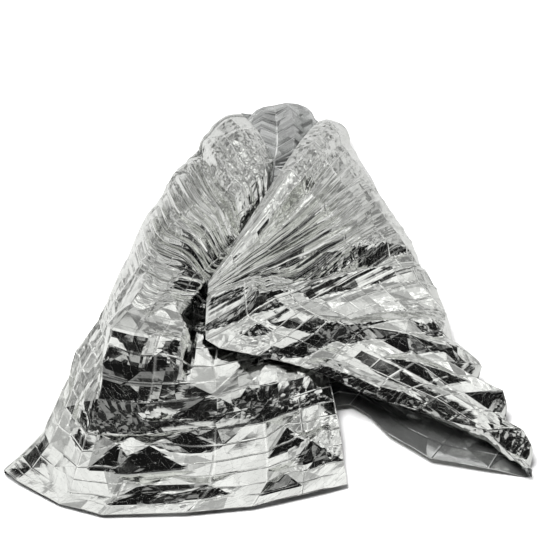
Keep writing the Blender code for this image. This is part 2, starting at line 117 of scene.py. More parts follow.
# Lines on the film that run from the neck edge to the hem, in order round the blanket.  Columns:
# fold row, film across from the back's middle, x, y, z, share of the facets, share of the pleats.
# A negative share stands up from the back, whose outer face lies on the floor.
LINES = {
    "left_edge": [
        (0, -1.050, 0.162, 0.475, 0.040, 0.7, 0.7),
        (3, -1.050, 0.218, 0.276, 0.036, 0.8, 0.8),
        (6, -1.050, 0.173, 0.016, 0.066, 0.6, 0.6),
        (7, -1.050, 0.155, -0.070, 0.078, 0.4, 0.4),
        (8, -1.050, 0.126, -0.140, 0.078, 0.4, 0.2),
        (9, -1.050, 0.111, -0.194, 0.066, 0.5, 0),
        (10, -1.050, 0.126, -0.245, 0.040, 0.9, 0),
        (11, -1.050, 0.134, -0.312, 0.028, 0.9, 0),
        (12, -1.050, 0.140, -0.377, 0.015, 0.9, 0),
        (13, -1.050, 0.146, -0.426, 0.004, 0.5, 0),
    ],
    "left_clasp": [
        (0, -0.620, -0.009, 0.316, 0.060, 0.2, 0.2),
        (1, -0.630, -0.033, 0.260, 0.062, 0.2, 0.4),
        (3, -0.650, -0.090, 0.151, 0.072, 0.2, 0.8),
        (5, -0.680, -0.129, 0.030, 0.084, 0.2, 0.7),
        (6, -0.700, -0.129, -0.017, 0.092, 0.4, 0.2),
        (7, -0.715, -0.122, -0.111, 0.094, 0.3, 0),
        (8, -0.730, -0.114, -0.192, 0.084, 0.4, 0),
        (9, -0.735, -0.105, -0.265, 0.068, 0.8, 0),
        (10, -0.740, -0.099, -0.318, 0.034, 0.6, 0),
        (11, -0.745, -0.092, -0.384, 0.021, 0.4, 0),
        (12, -0.750, -0.090, -0.445, 0.010, 0.4, 0),
        (13, -0.770, -0.108, -0.490, 0.004, 0.4, 0),
    ],
    "left_fan": [
        (0, -0.420, 0.005, 0.462, 0.065, 0.7, 0),
        (1, -0.440, -0.047, 0.369, 0.080, 0.7, 0.5),
        (3, -0.480, -0.135, 0.224, 0.094, 0.2, 1),
        (4.9, -0.540, -0.193, 0.085, 0.104, 0.2, 1),
        (6, -0.580, -0.212, -0.025, 0.114, 0.6, 0.4),
        (7, -0.610, -0.218, -0.128, 0.120, 0.8, 0),
        (8, -0.630, -0.221, -0.224, 0.118, 0.5, 0),
        (9, -0.635, -0.228, -0.282, 0.078, 0.6, 0),
        (10, -0.640, -0.240, -0.325, 0.025, 0.5, 0),
        (11, -0.640, -0.255, -0.399, 0.015, 0.4, 0),
        (12, -0.640, -0.274, -0.463, 0.008, 0.4, 0),
        (13, -0.650, -0.292, -0.499, 0.004, 0.4, 0),
    ],
    "left_ridge": [
        (0, -0.320, -0.028, 0.572, 0.058, 0.7, 0),
        (1, -0.340, -0.088, 0.479, 0.075, 0.6, 0.3),
        (3, -0.380, -0.182, 0.311, 0.088, 0.3, 0.8),
        (4.9, -0.420, -0.249, 0.140, 0.094, 0.3, 0.7),
        (6.1, -0.450, -0.275, 0.019, 0.100, 0.6, 0.1),
        (7.1, -0.480, -0.296, -0.087, 0.104, 0.7, 0),
        (8.1, -0.500, -0.314, -0.193, 0.102, 0.5, 0),
        (9, -0.505, -0.336, -0.267, 0.070, 0.6, 0),
        (10, -0.505, -0.364, -0.321, 0.026, 0.5, 0),
        (11, -0.500, -0.381, -0.392, 0.016, 0.4, 0),
        (12, -0.500, -0.392, -0.444, 0.009, 0.4, 0),
        (13, -0.510, -0.405, -0.467, 0.004, 0.4, 0),
    ],
    "left_fold": [
        (0, -0.235, -0.078, 0.705, 0.040, 0.1, 0),
        (1.1, -0.255, -0.141, 0.621, 0.038, 0.15, 0),
        (3.1, -0.280, -0.212, 0.441, 0.038, 0.7, 0),
        (5.4, -0.310, -0.279, 0.222, 0.040, 0.8, 0),
        (6.8, -0.325, -0.313, 0.085, 0.040, 0.7, 0),
        (7.8, -0.340, -0.337, -0.013, 0.042, 0.7, 0),
        (8.7, -0.355, -0.367, -0.097, 0.042, 0.7, 0),
        (9.6, -0.360, -0.400, -0.178, 0.040, 0.7, 0),
        (10.5, -0.360, -0.425, -0.264, 0.032, 0.7, 0),
        (11.2, -0.360, -0.441, -0.328, 0.022, 0.7, 0),
        (12.1, -0.355, -0.483, -0.366, 0.014, 0.6, 0),
        (13, -0.350, -0.509, -0.395, 0.008, 0.5, 0),
    ],
    "back_left": [
        (0, -0.060, -0.020, 0.766, 0.000, -0.1, 0),
        (1, -0.060, -0.024, 0.686, 0.000, -0.3, -0.5),
        (4, -0.040, -0.041, 0.397, 0.000, -0.15, -1),
        (7, -0.030, -0.060, 0.115, 0.000, -0.15, -1),
        (10, 0.000, -0.089, -0.149, 0.000, -0.15, -1),
        (11, 0.000, -0.111, -0.244, 0.000, 0, 0),
        (13, 0.030, -0.151, -0.442, 0.000, 0, 0),
    ],
    "back_middle": [
        (0, 0.080, 0.055, 0.775, 0.000, -0.5, 0),
        (1, 0.080, 0.068, 0.686, 0.000, -0.3, -0.9),
        (4, 0.110, 0.097, 0.415, 0.000, -0.15, -1),
        (7, 0.160, 0.123, 0.178, 0.000, -0.15, -1),
        (10, 0.280, 0.157, -0.030, 0.000, -0.2, -1),
        (11.3, 0.340, 0.160, -0.113, 0.000, -0.4, -0.3),
        (13, 0.410, 0.151, -0.228, 0.000, -0.5, 0),
    ],
    "back_right": [
        (0, 0.190, 0.099, 0.750, 0.000, -0.3, 0),
        (1, 0.200, 0.116, 0.654, 0.000, -0.2, -1),
        (4, 0.240, 0.183, 0.372, 0.000, -0.15, -1),
        (7, 0.300, 0.247, 0.124, 0.000, -0.15, -1),
        (10, 0.440, 0.296, -0.094, 0.000, -0.2, -1),
        (11.3, 0.520, 0.301, -0.199, 0.000, -0.4, -0.3),
        (13, 0.600, 0.280, -0.359, 0.000, -0.5, 0),
    ],
    "right_fold": [
        (0, 0.350, 0.130, 0.670, 0.030, 0.5, 0),
        (1.1, 0.360, 0.173, 0.574, 0.035, 0.6, 0.1),
        (4.1, 0.400, 0.276, 0.292, 0.040, 0.4, 0.15),
        (7, 0.460, 0.344, 0.059, 0.045, 0.5, 0.05),
        (9, 0.560, 0.387, -0.097, 0.045, 0.5, 0),
        (10.5, 0.670, 0.434, -0.192, 0.040, 0.4, 0),
        (12, 0.800, 0.498, -0.329, 0.030, 0.8, 0),
        (13, 0.880, 0.501, -0.405, 0.014, 0.6, 0),
    ],
    "right_chest": [
        (0, 0.600, 0.034, 0.399, 0.122, 0.25, 0),
        (1.2, 0.630, 0.075, 0.311, 0.117, 0.4, 0.2),
        (2.7, 0.660, 0.105, 0.194, 0.120, 0.2, 1),
        (4, 0.690, 0.117, 0.096, 0.122, 0.35, 0.6),
        (5.5, 0.730, 0.123, 0.011, 0.122, 0.4, 0.1),
        (7, 0.780, 0.129, -0.067, 0.118, 0.35, 0),
        (9, 0.860, 0.190, -0.158, 0.102, 0.3, 0),
        (10.5, 0.920, 0.281, -0.239, 0.080, 0.4, 0),
        (12, 0.955, 0.411, -0.331, 0.050, 0.6, 0),
        (13, 0.975, 0.459, -0.399, 0.024, 0.2, 0),
    ],
    "right_edge": [
        (0, 1.050, -0.126, 0.021, 0.113, 0.2, 0),
        (2, 1.050, -0.127, -0.005, 0.117, 0.2, 0.1),
        (4, 1.050, -0.128, -0.032, 0.118, 0.2, 0.1),
        (5.4, 1.050, -0.129, -0.140, 0.112, 0.2, 0),
        (6.2, 1.050, -0.087, -0.173, 0.109, 0.3, 0),
        (8, 1.050, 0.059, -0.198, 0.090, 0.35, 0),
        (10, 1.050, 0.198, -0.271, 0.074, 0.4, 0),
        (12, 1.050, 0.364, -0.305, 0.046, 0.5, 0),
        (13, 1.050, 0.438, -0.335, 0.022, 0.2, 0),
    ],
}

# Folded corners that stand up.  Columns: across, down, reach across, reach down, height.
POPPED_CORNERS = [
    (-0.595, 1.050, 0.050, 0.060, 0.028),
    (-0.650, 1.055, 0.050, 0.060, 0.026),
    (-0.665, 1.185, 0.050, 0.060, 0.020),
    (-0.730, 1.190, 0.055, 0.045, 0.014),
    (-0.900, 1.060, 0.055, 0.060, 0.022),
    (-0.960, 1.130, 0.060, 0.050, 0.022),
    (-0.890, 1.210, 0.050, 0.050, 0.020),
    (-0.620, 0.655, 0.045, 0.060, 0.025),
    (0.740, 0.905, 0.060, 0.060, 0.018),
    (0.830, 1.010, 0.050, 0.060, 0.018),
    (0.660, 0.960, 0.050, 0.050, 0.014),
]

# Ridges, and troughs where the height is negative, that fall away evenly to both sides.
# Columns: across, down, to across, to down, reach across, reach down, height.
MAIN_FOLDS = [
    (0.620, 0.125, 1.010, 0.165, 0.030, 0.030, -0.022),
    (0.640, 0.050, 1.000, 0.060, 0.050, 0.045, 0.006),
    (0.800, 0.430, 0.515, 0.590, 0.070, 0.060, -0.040),
    (0.875, 0.520, 0.520, 0.640, 0.080, 0.055, 0.016),
    (0.880, 0.530, 0.840, 0.780, 0.060, 0.060, 0.014),
    (1.000, 0.790, 0.870, 0.815, 0.060, 0.060, -0.014),
    (0.845, 0.810, 0.925, 1.110, 0.060, 0.060, 0.008),
    (1.020, 0.850, 1.000, 1.050, 0.045, 0.050, 0.010),
    (0.830, 0.820, 0.625, 0.860, 0.060, 0.060, 0.018),
    (0.915, 0.500, 0.950, 0.600, 0.045, 0.050, 0.012),
    (-0.505, 0.600, -0.525, 0.830, 0.050, 0.050, 0.012),
    (-0.525, 0.830, -0.500, 1.010, 0.050, 0.050, 0.012),
    (-0.855, 0.850, -0.700, 1.010, 0.070, 0.060, 0.018),
    (-0.640, 0.790, -0.645, 0.900, 0.040, 0.050, 0.012),
    (-0.505, 0.765, -0.655, 0.765, 0.040, 0.090, 0.034),
    (-0.600, 0.555, -0.665, 0.560, 0.035, 0.050, 0.026),
    (1.035, 0.435, 0.925, 0.465, 0.040, 0.090, 0.036),
    (-0.700, 0.560, -0.700, 0.660, 0.040, 0.050, -0.016),
    (-0.300, 0.130, -0.540, 0.150, 0.050, 0.035, 0.014),
    (-0.290, 0.190, -0.560, 0.225, 0.050, 0.035, -0.020),
]

# Crumpled places.  Columns: across, down, reach across, reach down, strength.
CRUMPLED = [
    (-0.40, 0.06, 0.16, 0.12, 0.8),
    (0.50, 0.06, 0.18, 0.10, 1.0),
    (0.72, 0.10, 0.10, 0.05, 0.4),
    (0.66, 0.47, 0.15, 0.05, 1.0),
    (-0.42, 0.17, 0.14, 0.05, 1.0),
    (0.95, 0.42, 0.10, 0.07, 0.8),
    (0.86, 0.76, 0.05, 0.04, 0.7),
    (1.00, 0.64, 0.06, 0.08, 0.9),
    (1.02, 0.95, 0.04, 0.20, 0.6),
    (0.62, 0.84, 0.07, 0.08, 0.8),
    (0.85, 1.25, 0.25, 0.11, 0.9),
    (-0.70, 0.62, 0.04, 0.08, 1.0),
    (-0.63, 0.77, 0.05, 0.05, 0.5),
    (-0.56, 0.95, 0.15, 0.07, 0.5),
    (-0.97, 0.93, 0.10, 0.10, 0.8),
    (-0.98, 1.12, 0.08, 0.10, 0.7),
    (-0.40, 0.75, 0.08, 0.15, 0.5),
    (0.40, 0.50, 0.07, 0.60, 0.8),
    (-0.29, 0.50, 0.07, 0.60, 0.8),
    (-0.80, 0.93, 0.10, 0.05, 0.5),
]

# What the studio shows in a level mirror.  Columns: degrees over the far horizon, brightness.
STUDIO_BANDS = [
    (0, 0.85), (9, 0.75), (12, 0.30), (18, 0.20), (21, 0.70), (29, 0.85), (32, 0.35), (39, 0.35),
    (42, 0.88), (44.6, 0.88), (45.2, 2.20), (46.2, 2.20), (46.8, 0.88),
    (52, 0.85), (55, 0.55), (62, 0.55), (65, 1.15), (80, 1.15),
    (84.5, 0.15), (89.5, 0.015), (101.8, 0.01), (103, 0.80), (106.2, 0.80), (107.4, 0.01),
    (140, 0.01), (144, 0.35), (152, 0.35), (155, 0.02), (180, 0.05),
]
# Columns: share of the way from the left side to the right one, brightness.
STUDIO_SIDES = [
    (0.00, 0.70), (0.28, 0.70), (0.40, 0.95), (0.46, 0.85), (0.50, 1.00), (0.55, 0.80),
    (0.62, 0.85), (0.66, 1.00), (0.74, 1.00), (0.80, 0.60), (0.88, 0.90), (1.00, 0.80),
]
FLOOR_IN_FILM = 0.5  # how bright the floor is in the film, as a share
FLOOR_HALF_SIZE = 20
FLOOR_LEVEL = -0.001
LAMP_SIZE = 1.6
LAMP_PLACE = (-0.8, -0.3, 3.0)
LAMP_TILT = math.radians(-15)
CAMERA_TARGET = (-0.003, 0.040, 0.0)


class FilmSettings(bpy.types.PropertyGroup):
    """Sizes and colours of the metallised film."""

    thickness: FloatProperty(
        name="Thickness", description="Drawn thickness of the film", default=0.0004,
        min=0.0001, max=0.003, unit="LENGTH",
    )
    crinkle_depth: FloatProperty(
        name="Crinkle Depth", description="Height of the crinkles where the film is crumpled",
        default=0.008, min=0, max=0.02, unit="LENGTH",
    )
    fine_depth: FloatProperty(
        name="Fine Crinkle Depth", description="Height of the smallest crinkles",
        default=0.0024, min=0, max=0.01, unit="LENGTH",
    )
    crease_depth: FloatProperty(
        name="Crease Depth", description="Height of the factory fold lines",
        default=0.0009, min=0, max=0.005, unit="LENGTH",
    )
    outer_colour: FloatVectorProperty(
        name="Outer Colour", description="Colour of the bright outer face",
        default=(0.80, 0.81, 0.78), min=0, max=1, subtype="COLOR",
    )
    inner_colour: FloatVectorProperty(
        name="Inner Colour", description="Colour of the duller inner face",
        default=(0.62, 0.63, 0.62), min=0, max=1, subtype="COLOR",
    )


class StudioSettings(bpy.types.PropertyGroup):
    """Floor, light and camera."""

    floor_colour: FloatVectorProperty(
        name="Floor Colour", description="Colour of the pale floor",
        default=(0.92, 0.92, 0.92), min=0, max=1, subtype="COLOR",
    )
    top_light: FloatProperty(
        name="Top Light", description="Power of the soft light over the blanket",
        default=190, min=0, unit="POWER",
    )
    elevation: FloatProperty(
        name="Camera Elevation", description="Camera's angle over the floor",
        default=math.radians(43), subtype="ANGLE",
    )
    distance: FloatProperty(
        name="Camera Distance", description="From the camera to the point it looks at",
        default=3.285, unit="LENGTH",
    )
    lens: FloatProperty(
        name="Lens", description="Focal length", default=100, unit="CAMERA",
    )


def through(at, knots, values):
    """Values at the places asked for, on a smooth curve through the knots that never overshoots."""
    step = np.diff(knots)
    slope = np.diff(values, axis=0) / step[:, None]
    lean = np.zeros_like(values)
    lean[0], lean[-1] = slope[0], slope[-1]
    before, after = (2 * step[1:] + step[:-1])[:, None], (step[1:] + 2 * step[:-1])[:, None]
    same_way = slope[:-1] * slope[1:] > 0
    with np.errstate(divide="ignore", invalid="ignore"):
        mean = (before + after) / (before / slope[:-1] + after / slope[1:])
    lean[1:-1] = np.where(same_way, mean, 0)
    k = np.clip(np.searchsorted(knots, at, side="right") - 1, 0, len(knots) - 2)
    f = ((at - knots[k]) / step[k])[:, None]
    span = step[k][:, None]
    return (
        values[k] * (1 + 2 * f) * (1 - f) ** 2
        + lean[k] * span * f * (1 - f) ** 2
        + values[k + 1] * f * f * (3 - 2 * f)
        + lean[k + 1] * span * f * f * (f - 1)
    )


def side_roll(fold, front, back, sign):
    """The lines along the top and the foot of a side's roll, from its outermost line."""
    ends = []
    for towards, turn in ((front, sign), (back, -sign)):
        inwards = towards[:, 1:3] - fold[:, 1:3]
        inwards = inwards / np.linalg.norm(inwards, axis=1, keepdims=True)
        end = fold.copy()
        end[:, 0] += turn * ROLL
        end[:, 1:3] += inwards * ROLL_REACH * np.minimum(1, fold[:, 3:4] / FULL_ROLL)
        ends.append(end)
    top, foot = ends
    top[:, 3] *= ROLL_RISE
    top[:, 4] = TOP_SHARE
    foot[:, 3:] = 0
    return top, foot


def laid(across, down):
    """The film without its creases: x, y, z and both shares, for each row and column."""
    line = {}
    for name, table in LINES.items():
        table = np.array(table)
        line[name] = through(down / PANEL_LENGTH, table[:, 0], table[:, 1:])
    _, left_foot = side_roll(line["left_fold"], line["left_ridge"], line["back_left"], -1)
    right_top, right_foot = side_roll(line["right_fold"], line["right_chest"], line["back_right"], 1)
    order = [line["left_edge"], line["left_clasp"], line["left_fan"], line["left_ridge"]]
    order += [line["left_fold"], left_foot, line["back_left"], line["back_middle"]]
    order += [line["back_right"], right_foot, line["right_fold"], right_top]
    order += [line["right_chest"], line["right_edge"]]
    rounds = np.stack(order, axis=1)
    return np.stack([through(across, knots[:, 0], knots[:, 1:]) for knots in rounds])


def facets(s, t, pitch, seed, turn=0.0, rows=0.0, columns=0.0, centre=1.0):
    """Height from 0 to 1 of flat-sided panels, each creased from its corners to its middle."""
    c, n = np.cos(turn), np.sin(turn)
    u, v = (s * c + t * n) / pitch[0] + 40, (t * c - s * n) / pitch[1] + 40
    i, j = np.floor(u + 1e-9).astype(int), np.floor(v + 1e-9).astype(int)
    du, dv = u - i - 0.5, v - j - 0.5
    random = np.random.default_rng(seed)
    size = (FACET_TABLE, FACET_TABLE)
    jj, ii = np.indices(size)
    rest = 1 - rows - columns
    corner = rest * random.random(size) + rows * (jj % 2) + columns * (ii % 2)
    middle = random.random(size)
    i, j = i % (FACET_TABLE - 1), j % (FACET_TABLE - 1)
    a, b, d, e = corner[j, i], corner[j, i + 1], corner[j + 1, i], corner[j + 1, i + 1]
    m = (a + b + d + e) / 4 + centre * rest * (middle[j, i] - 0.5)
    right = m + 2 * np.abs(du) * ((b + e) / 2 - m) + dv * (e - b)
    left = m + 2 * np.abs(du) * ((a + d) / 2 - m) + dv * (d - a)
    below = m + 2 * np.abs(dv) * ((d + e) / 2 - m) + du * (e - d)
    above = m + 2 * np.abs(dv) * ((a + b) / 2 - m) + du * (b - a)
    sideways = np.where(du > 0, right, left)
    return np.where(np.abs(du) > np.abs(dv), sideways, np.where(dv > 0, below, above))


def uneven_crests(s, t, pleat, seed, least, panels, places):
    """Height from 0 to 1 of pleats, each of its own height, which changes across the film."""
    crest = np.abs(2 * ((t / pleat) % 1.0) - 1)
    crease = np.round(t / pleat).astype(int) % PLEAT_TABLE
    place = (s + HALF_WIDTH) / (panels * PANEL_WIDTH)
    i = place.astype(int)
    share = np.random.default_rng(seed).uniform(least, 1.0, (PLEAT_TABLE, places))
    return crest * (share[crease, i] * (1 - place + i) + share[crease, i + 1] * (place - i))


def pleats(s, t, lengthwise):
    """Depth of the narrow pleats that take up the film's spare length."""
    crest = uneven_crests(s, t, PLEAT, seed=7, least=0.4, panels=2, places=12)
    spare = PLEAT / 2 * np.sqrt(np.clip(1 - lengthwise**2, 0, 1))
    return np.minimum(spare, PLEAT_SLOPE * lengthwise * PLEAT) * crest


def small_pleats(s, t, lengthwise):
    """Depth of the small pleats between the solid's, where the film is drawn together."""
    crest = uneven_crests(s, t, SMALL_PLEAT, seed=8, least=0.1, panels=3, places=8)
    drawn = np.clip(3 * (1 - lengthwise), 0, 1)
    return SMALL_PLEAT_SLOPE * lengthwise * SMALL_PLEAT * crest * drawn


def gathers(s, crosswise):
    """Depth of the folds along the columns that take up its spare width."""
    crest = np.abs(2 * ((s / PANEL_WIDTH + 0.5) % 1.0) - 1)
    spare = PANEL_WIDTH / 2 * np.sqrt(np.clip(1 - crosswise**2, 0, 1))
    depth = np.minimum(spare, GATHER_SLOPE * crosswise * PANEL_WIDTH)
    return np.minimum(depth, GATHER_DEPTH) * crest


def crumple(s, t):
    """How crumpled the film is, from 0 to 1."""
    most = np.zeros_like(s)
    for centre_s, centre_t, reach_s, reach_t, strength in CRUMPLED:
        away = np.hypot((s - centre_s) / reach_s, (t - centre_t) / reach_t)
        most = np.maximum(most, strength * np.clip(CRUMPLE_FADE - CRUMPLE_FADE * away, 0, 1))
    return most


def crinkles(s, t, place, sizes):
    """Height of the crinkles that the solid is too coarse for, as wide as they are long once laid."""
    share = CALM + (1 - CALM) * crumple(s, t)
    u, v = laid_lengths(place)
    shift = SHIFT * (facets(u, v, SHIFT_PITCH, seed=21, turn=0.9) - 0.5)
    crinkle = facets(u + shift, v - shift, CRINKLE_PITCH, seed=5, turn=0.6)
    fine = facets(u + shift, v + shift, FINE_PITCH, seed=6, turn=-0.35)
    return share * sizes.crinkle_depth * crinkle + share * sizes.fine_depth * fine


def main_forms(s, t):
    """Height of the roll along the neck edge, the corners that stand up, and the main folds."""
    height = COLLAR_DEPTH * np.sin(np.pi * np.clip(t / (COLLAR_ROWS * PANEL_LENGTH), 0, 1))
    for corner_s, corner_t, reach_s, reach_t, rise in POPPED_CORNERS:
        away = np.maximum(np.abs(s - corner_s) / reach_s, np.abs(t - corner_t) / reach_t)
        height += rise * np.clip(1 - away, 0, 1)
    for start_s, start_t, end_s, end_t, reach_s, reach_t, rise in MAIN_FOLDS:
        run = np.array([(end_s - start_s) / reach_s, (end_t - start_t) / reach_t])
        off_s, off_t = (s - start_s) / reach_s, (t - start_t) / reach_t
        along = np.clip((off_s * run[0] + off_t * run[1]) / (run @ run), 0, 1)
        away = np.hypot(off_s - along * run[0], off_t - along * run[1])
        height += rise * np.clip(1 - away, 0, 1)
    return height


def flattened(across, down):
    """The film without its creases, made flat between its fold lines and halfway lines."""
    whole, half = PANEL_WIDTH, PANEL_WIDTH / 2
    last = FOLD_COLUMNS // 2
    columns = np.concatenate([
        np.arange(-last, FLAT_COLUMNS[0]) * whole,
        np.arange(2 * FLAT_COLUMNS[0], 2 * FLAT_COLUMNS[1]) * half,
        np.arange(FLAT_COLUMNS[1], last + 1) * whole,
    ])
    rows = np.concatenate([
        np.arange(2 * FLAT_ROW) * PANEL_LENGTH / 2,
        np.arange(FLAT_ROW, FOLD_ROWS + 1) * PANEL_LENGTH,
    ])
    knots = laid(columns, rows)
    j, i = np.meshgrid(
        np.clip(np.searchsorted(rows, down, side="right") - 1, 0, len(rows) - 2),
        np.clip(np.searchsorted(columns, across, side="right") - 1, 0, len(columns) - 2), indexing="ij",
    )
    u, v = np.meshgrid(across, down)
    du = ((u - columns[i]) / (columns[i + 1] - columns[i]))[..., None]
    dv = ((v - rows[j]) / (rows[j + 1] - rows[j]))[..., None]
    a, b, d, e = knots[j, i], knots[j, i + 1], knots[j + 1, i], knots[j + 1, i + 1]
    falling = np.where(du > dv, a + du * (b - a) + dv * (e - b), a + dv * (d - a) + du * (e - d))
    rising = np.where(
        du + dv < 1, a + du * (b - a) + dv * (d - a), e + (1 - du) * (d - e) + (1 - dv) * (b - e),
    )
    return np.where(((i + j) % 2 == 0)[..., None], falling, rising)


def laid_lengths(place):
    """How far each place is along the laid film, across and down, from the middle of its flap."""
    across = np.linalg.norm(np.diff(place, axis=1), axis=-1).cumsum(axis=1)
    down = np.linalg.norm(np.diff(place, axis=0), axis=-1).cumsum(axis=0)
    across, down = np.pad(across, ((0, 0), (1, 0))), np.pad(down, ((1, 0), (0, 0)))
    columns = place.shape[1]
    left, right = int(LEFT_MIDDLE * columns), int(RIGHT_MIDDLE * columns)
    on_left = np.arange(columns) < columns / 2
    return np.where(on_left, across - across[:, [left]], across - across[:, [right]]), down


def outer_face(across, down, sizes=None):
    """The film's outer face as it lies, creased, for each row and column."""
    film = laid(across, down)
    place, facet, pleat = film[..., :3], film[..., 3], film[..., 4]
    along_s, along_t = np.gradient(place, across, axis=1), np.gradient(place, down, axis=0)
    outwards = np.cross(along_s, along_t)
    outwards /= np.linalg.norm(outwards, axis=-1, keepdims=True)
    crosswise, lengthwise = np.linalg.norm(along_s, axis=-1), np.linalg.norm(along_t, axis=-1)
    room = np.clip(np.minimum(lengthwise, crosswise) / FULL_ROOM, LEAST_ROOM, 1)
    s, t = np.meshgrid(across, down)
    wave = facets(s, t, WAVE_PITCH, seed=3, turn=0.45, centre=0.3)
    height = WAVE_DEPTH * np.clip(WAVE_ROOM * room, 0, 1) * wave
    panel_size = (PANEL_WIDTH, PANEL_LENGTH)
    panel = facets(s, t, panel_size, seed=11, rows=0.4, columns=0.15, centre=0.8)
    height += PANEL_DEPTH * room * panel
    pleated = pleats(s, t, lengthwise)
    if sizes:
        height += crinkles(s, t, place, sizes)
        pleated += small_pleats(s, t, lengthwise)
    height = height * facet + pleated * pleat
    height += main_forms(s, t) * room * np.clip(3 * facet, 0, 1)
    height += gathers(s, crosswise) * (GATHER_SHARE * facet + np.minimum(pleat, 0))
    if sizes:
        drawn = np.clip(DRAWN_SHARE * pleat, 0, 1)[..., None]
        place = place * drawn + flattened(across, down)[..., :3] * (1 - drawn)
    resting = np.zeros_like(t)
    for band in RESTING_BANDS:
        resting = np.maximum(resting, np.clip(2 - np.abs(t - band) / (PLEAT / 2), 0, 1))
    height = np.where(height < 0, height * (1 - resting), height)
    place = place + outwards * height[..., None]
    place[..., 2] = np.maximum(place[..., 2], 0)
    return place


def column_places():
    """Places across the film of its mesh columns, closer together on the flaps than on the back."""
    first, last = BACK_PANELS
    panels = [FLAP_STEPS] * first + [BACK_STEPS] * (last - first) + [FLAP_STEPS] * (FOLD_COLUMNS - last)
    steps = [PANEL_WIDTH / count for count in panels for _ in range(count)]
    return np.concatenate([[0], np.cumsum(steps)]) - HALF_WIDTH


def add_node(tree, kind, sockets=None, **settings):
    """A node with its settings, and each named socket set to a value or linked to an output."""
    node = tree.nodes.new(kind)
    for name, value in settings.items():
        setattr(node, name, value)
    for name, value in (sockets or {}).items():
        if isinstance(value, bpy.types.NodeSocket):
            tree.links.new(value, node.inputs[name])
        else:
            node.inputs[name].default_value = value
    return node


def set_inputs(tree, node, values):
    """Set the node's first inputs, each to a value or linked to an output."""
    for socket, value in zip(node.inputs, values):
        if isinstance(value, bpy.types.NodeSocket):
            tree.links.new(value, socket)
        else:
            socket.default_value = value


def maths(tree, operation, *values, **settings):
    """A Math node's output."""
    node = add_node(tree, "ShaderNodeMath", operation=operation, **settings)
    set_inputs(tree, node, values)
    return node.outputs[0]


def vector_maths(tree, operation, *values):
    """A Vector Math node."""
    node = add_node(tree, "ShaderNodeVectorMath", operation=operation)
    set_inputs(tree, node, values)
    return node


def bump(tree, height, under=None):
    """Normal of a height in metres, over the normal of the coarser relief under it."""
    sockets = {"Height": height, "Distance": 1.0}
    if under is not None:
        sockets["Normal"] = under
    return add_node(tree, "ShaderNodeBump", sockets).outputs[0]


def facet_height(tree, place, cells, slope):
    """Height of many small flat facets, each leaning its own way."""
    cell = add_node(
        tree, "ShaderNodeTexVoronoi", {"Vector": place, "Scale": cells}, voronoi_dimensions="2D",
    )
    off = vector_maths(tree, "SUBTRACT", place, cell.outputs["Position"])
    lean = vector_maths(tree, "SUBTRACT", cell.outputs["Color"], (0.5, 0.5, 0.5))
    height = vector_maths(tree, "DOT_PRODUCT", off.outputs[0], lean.outputs[0])
    return maths(tree, "MULTIPLY", height.outputs["Value"], slope)


def fold_lines(tree, along, pitch, width):
    """Mask of the sharp lines left where the film was folded, one every pitch."""
    panels = maths(tree, "DIVIDE", along, pitch)
    away = maths(tree, "MULTIPLY", maths(tree, "PINGPONG", panels, 0.5), pitch)
    line = add_node(
        tree, "ShaderNodeMapRange",
        {"Value": away, "From Min": 0.0, "From Max": width, "To Min": 1.0, "To Max": 0.0},
    )
    return line.outputs[0]


